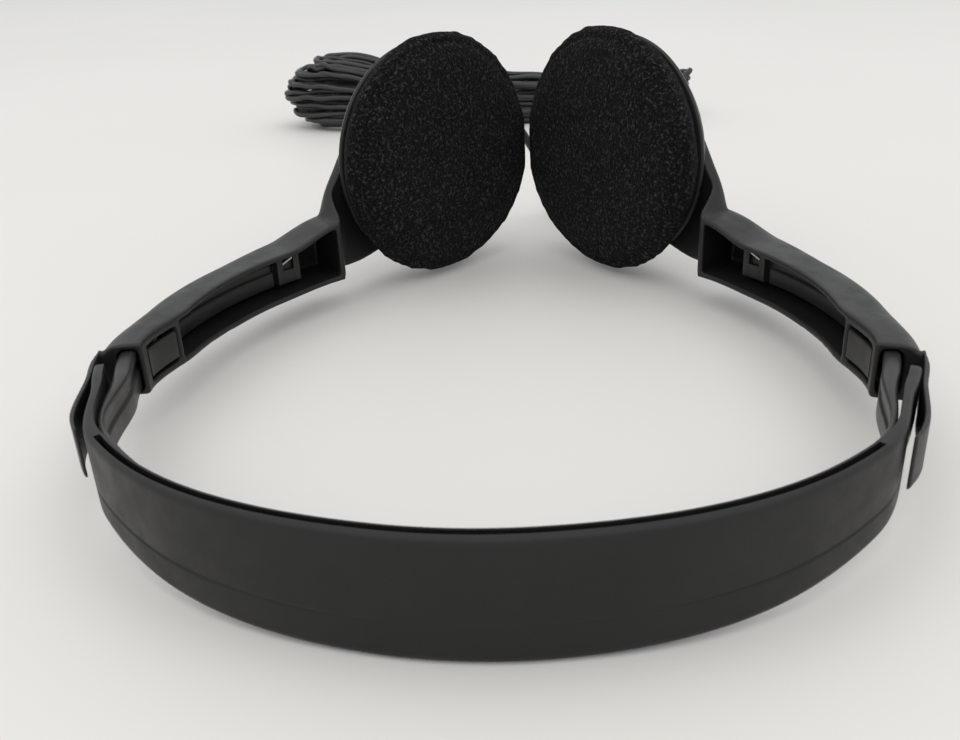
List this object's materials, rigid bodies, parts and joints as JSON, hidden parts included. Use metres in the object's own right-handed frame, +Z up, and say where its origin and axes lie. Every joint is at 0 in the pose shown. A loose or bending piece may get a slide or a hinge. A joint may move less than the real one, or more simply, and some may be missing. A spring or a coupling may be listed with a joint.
{
  "type": "headset",
  "caption": "Light on-ear headset lying on its side: curved headband, sliding side arms with foam ear cups and a bundled lead.",
  "frame": {"origin": "middle of the flat lower edge of the headband at its crown, on the table plane", "axes": "+Z up from the table, +Y from the headband's crown towards the ear cups, +X towards the right-hand ear cup"},
  "size_m": [0.194, 0.3854, 0.0614],
  "materials": {
    "black_plastic": "fine spark-eroded texture, black",
    "arm_plastic": "fine spark-eroded texture, black",
    "rail_plastic": "smooth semi-matt black",
    "ring_plastic": "smooth black",
    "foam": "open-cell foam, black",
    "steel": "plain",
    "clip_steel": "plain, bent strip",
    "film": "translucent film",
    "copper": "enamelled copper wire",
    "relief_rubber": "moulded, satin",
    "cable_jacket": "satin extruded jacket",
    "gold": "gold plated"
  },
  "bodies": {
    "headband": {"headband_shell": "black_plastic", "left_rail": "rail_plastic", "left_rail_rivet": "steel", "left_rail_stop": "clip_steel", "right_rail": "rail_plastic", "right_rail_rivet": "steel", "right_rail_stop": "clip_steel", "y_splitter": "relief_rubber", "main_lead": "cable_jacket", "cable_hank": "cable_jacket", "hank_tie": "relief_rubber", "plug_lead": "cable_jacket", "plug_relief": "relief_rubber", "plug_grip": "relief_rubber", "plug_shaft": "gold", "plug_tip": "gold"},
    "left_arm": {"left_arm_shell": "arm_plastic", "left_pad_ring": "ring_plastic", "left_ear_pad": "foam", "left_baffle": "ring_plastic", "left_driver_frame": "ring_plastic", "left_diaphragm": "film", "left_voice_coil": "copper", "left_magnet": "steel", "left_cord_relief": "relief_rubber", "left_cord": "cable_jacket"},
    "right_arm": {"right_arm_shell": "arm_plastic", "right_pad_ring": "ring_plastic", "right_ear_pad": "foam", "right_baffle": "ring_plastic", "right_driver_frame": "ring_plastic", "right_diaphragm": "film", "right_voice_coil": "copper", "right_magnet": "steel", "right_cord_relief": "relief_rubber", "right_cord": "cable_jacket"},
    "left_latch": {"left_latch_tab": "arm_plastic"},
    "right_latch": {"right_latch_tab": "arm_plastic"}
  },
  "joints": [
    {"name": "left_arm_adjust", "type": "hinge", "parent": "headband", "child": "left_arm", "pos_m": [0, 0.0736, 0.0127], "axis": [0, 0, 1], "range_deg": [0, 5.2]},
    {"name": "right_arm_adjust", "type": "hinge", "parent": "headband", "child": "right_arm", "pos_m": [0, 0.0736, 0.0127], "axis": [0, 0, -1], "range_deg": [0, 5.2]},
    {"name": "left_latch_press", "type": "hinge", "parent": "left_arm", "child": "left_latch", "pos_m": [-0.0645, 0.06059, 0.0128], "axis": [0, 0, -1], "range_deg": [0, 4]},
    {"name": "right_latch_press", "type": "hinge", "parent": "right_arm", "child": "right_latch", "pos_m": [0.0645, 0.06059, 0.0128], "axis": [0, 0, 1], "range_deg": [0, 4]}
  ]
}
